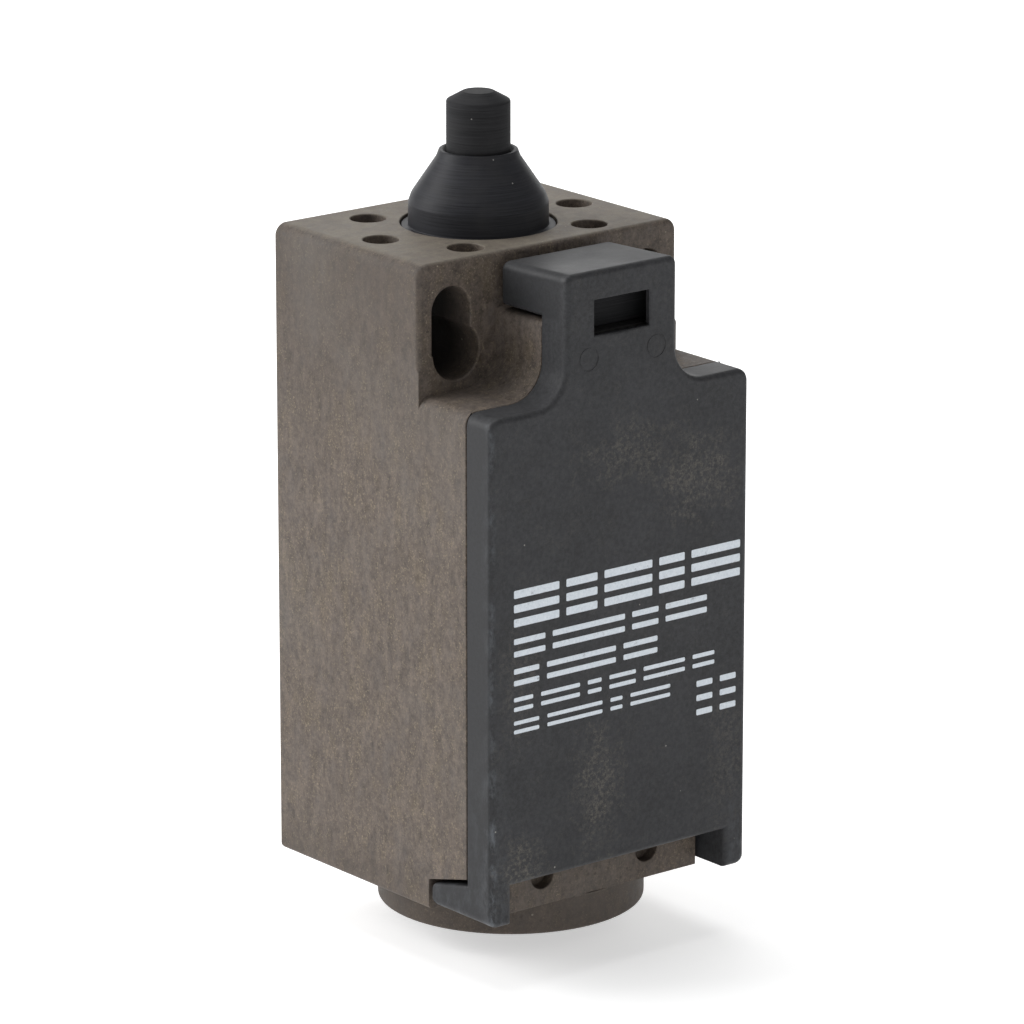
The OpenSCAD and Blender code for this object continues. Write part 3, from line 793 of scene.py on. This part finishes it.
def make_plunger():
    """The plunger: a pin with a flange above its stem."""
    corners = [
        (0, 53.3, 0), (1.35, 53.3, 0.1), (1.35, 49.8, 0.12), (1.9, 49.8, 0.15),
        (1.9, 54.6, 0.1), (4.6, 54.6, 0.2), (4.6, 56.3, 0.2), (2.95, 56.3, 0.1),
        (2.94, 74.62, 0.28), (1.45, 75.45, 0.22), (0, 75.45, 0)
    ]
    obj = lathe("plunger_pin", corners)
    return place(obj, "plunger_body", "black_plastic", "plunger")


def make_guide():
    """The cone round the plunger, with its seat and bore."""
    corners = [
        (3.0, 56.4, 0.15), (5.3, 56.4, 0.15), (5.3, 57.0, 0.05), (5.0, 57.0, 0.05),
        (5.0, 57.75, 0.05), (5.5, 57.75, 0.1), (5.5, 61.7, 0.1), (6.5, 61.7, 0.1),
        (6.5, 60.8, 0.05), (7.1, 60.8, 0.1), (7.1, 63.08, 0.12), (6.44, 63.08, 0.12),
        (6.42, 65.22, 0.05), (6.14, 66.02, 1.6), (3.86, 69.40, 0.4), (3.60, 70.1, 0.14),
        (3.3, 70.1, 0.12), (3.0, 69.7, 0.1), (3.0, 61.6, 0.05), (4.2, 61.6, 0.05),
        (4.2, 60.1, 0.05), (3.0, 60.1, 0.05)
    ]
    obj = lathe("plunger_cone", corners, arc=6)
    return place(obj, "case", "black_plastic", "plunger_guide", look=LOOKS["cone_plastic"])


def make_seals():
    """The ring round the guide and the lip seal round the plunger."""
    ring = [(6.0 + 0.43 * math.cos(a), 61.25 + 0.43 * math.sin(a), 0)
            for a in (2 * math.pi * k / 16 for k in range(16))]
    place(lathe("guide_seal_ring", ring, arc=1), "case", "rubber", "guide_o_ring")
    lip = [
        (3.28, 60.15, 0.05), (4.15, 60.15, 0.1), (4.15, 61.55, 0.1), (3.28, 61.55, 0.05),
        (2.98, 61.3, 0.05), (3.18, 60.85, 0.1), (2.98, 60.4, 0.05)
    ]
    place(lathe("plunger_lip_seal", lip), "case", "rubber", "plunger_seal")


# ---------------------------------------------------------------- springs

def make_springs():
    """All the coil springs, each attached to one body."""
    s = spring("plunger_return_coil", 3.7, 0.32, 47.2, 54.6, 3.25)
    place(s, "case", "spring_steel", "return_spring")
    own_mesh(s)
    s = spring("carrier_drive_coil", 1.05, 0.16, 44.3, 53.3, 9)
    place(s, "carrier_body", "spring_steel", "drive_spring")
    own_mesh(s)
    s = spring("carrier_return_coil", 1.5, 0.2, 15.3, 20.5, 4)
    place(s, "case", "spring_steel", "carrier_spring")
    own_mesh(s)
    for node, name in (("nc_contact_spring", "nc_contact_coil"),
                       ("no_contact_spring", "no_contact_coil")):
        low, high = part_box(node)
        s = spring(name, 0.85, 0.15, low.z * 1000, high.z * 1000, 5)
        place(s, "carrier_body", "spring_steel", node)


# ---------------------------------------------------------------- contact block

INNER = (
    ("cover_gasket", "front_cover", "rubber", 0.12),
    ("guide_retaining_ring", "case", "spring_steel", 0.08),
    ("contact_carrier", "carrier_body", "carrier_plastic", 0.15),
    ("nc_bridge", "carrier_body", "brass", 0.08),
    ("no_bridge", "carrier_body", "brass", 0.08),
    ("nc_bridge_tips", "carrier_body", "contact_silver", 0.1),
    ("no_bridge_tips", "carrier_body", "contact_silver", 0.1),
    ("block_back_shell", "case", "block_plastic", 0.15),
    ("block_front_shell", "case", "block_plastic", 0.15),
    ("nc_rail_left", "case", "brass", 0.1),
    ("nc_rail_right", "case", "brass", 0.1),
    ("no_rail_left", "case", "brass", 0.1),
    ("no_rail_right", "case", "brass", 0.1),
    ("fixed_contact_tips", "case", "contact_silver", 0.1),
    ("clamp_washers", "case", "zinc_plate", 0.12),
    ("terminal_screws", "case", "zinc_plate", 0.2),
    ("block_screws", "case", "zinc_plate", 0.15),
)


def make_inner():
    """The pieces inside the case, each rounded from its CAD shape."""
    for node, body, slot, radius in INNER:
        cuts = [(0, side * x) for side in (-1, 1) for x in (7.8, 10.55)]
        bm = clean_copy(node, cuts + [(0, 0.0), (1, AXIS_Y)])
        obj = bevelled(node + "_piece", bm, lambda p, r=radius: r, radius, segments=3)
        place(obj, body, slot, node)


make_housing()
make_thread()
make_cover()
make_print()
make_plunger()
make_guide()
make_seals()
make_springs()
make_inner()


# ---------------------------------------------------------------- stage

def make_floor():
    """A pale plain floor."""
    mesh = bpy.data.meshes.new("floor")
    size, low = 12.0, FLOOR_Z * MM
    mesh.from_pydata([(-size, -size, low), (size, -size, low), (size, size, low),
                      (-size, size, low)],
                     [], [(0, 1, 2, 3)])
    floor = bpy.data.objects.new("floor", mesh)
    bpy.context.scene.collection.objects.link(floor)
    look = Look("floor", specular=0.2)
    cloud = look.noise(0.02, detail=3)
    colour = look.mix((0.86, 0.86, 0.86), (0.90, 0.90, 0.90), look.ramp(cloud, 0.3, 0.7))
    look.bsdf.inputs["Emission Color"].default_value = (1, 1, 1, 1)
    look.bsdf.inputs["Emission Strength"].default_value = 0.5
    mesh.materials.append(look.finish(colour, look.ramp(cloud, 0.3, 0.7, 0.8, 0.9)))


def add_light(name, place_at, aim, power, size):
    """A white rectangular light at place_at, turned towards aim."""
    data = bpy.data.lights.new(name, "AREA")
    data.shape = "RECTANGLE"
    data.size, data.size_y = size
    data.energy = power
    lamp = bpy.data.objects.new(name, data)
    lamp.location = place_at
    direction = Vector(aim) - Vector(place_at)
    lamp.rotation_mode = "QUATERNION"
    lamp.rotation_quaternion = direction.to_track_quat("-Z", "Y")
    bpy.context.scene.collection.objects.link(lamp)


def make_camera():
    """A long lens, from the front left and above."""
    data = bpy.data.cameras.new("camera")
    data.sensor_width = 36.0
    data.lens = 233.12
    data.clip_start = 0.02
    data.clip_end = 60.0
    camera = bpy.data.objects.new("camera", data)
    ahead = Vector((0.6018, 0.7494, -0.2761)).normalized()
    right = ahead.cross(Vector((0, 0, 1))).normalized()
    up = right.cross(ahead)
    turn = Matrix((right, up, -ahead)).transposed().to_4x4()
    camera.matrix_world = Matrix.Translation((-0.36607, -0.45604, 0.20473)) @ turn
    bpy.context.scene.collection.objects.link(camera)
    bpy.context.scene.camera = camera


make_floor()
make_camera()
aim = (0, 0, 0.035)
add_light("key_back_left", (-0.64, 0.60, 0.44), aim, 7.9, (0.6, 0.6))
add_light("top", (0.05, 0.25, 0.9), aim, 5.0, (0.8, 0.8))
add_light("front_fill", (-0.10, -1.0, 0.34), aim, 2.25, (1.5, 1.0))
add_light("back_wall", (0.60, 0.80, 0.30), aim, 4.5, (1.2, 0.7))

world = bpy.data.worlds.new("studio")
bpy.context.scene.world = world
world.use_nodes = True
background = world.node_tree.nodes.get("Background") or world.node_tree.nodes.new(
    "ShaderNodeBackground")
background.inputs["Color"].default_value = (1, 1, 1, 1)
background.inputs["Strength"].default_value = 0.16
bpy.context.scene.view_settings.view_transform = "Standard"
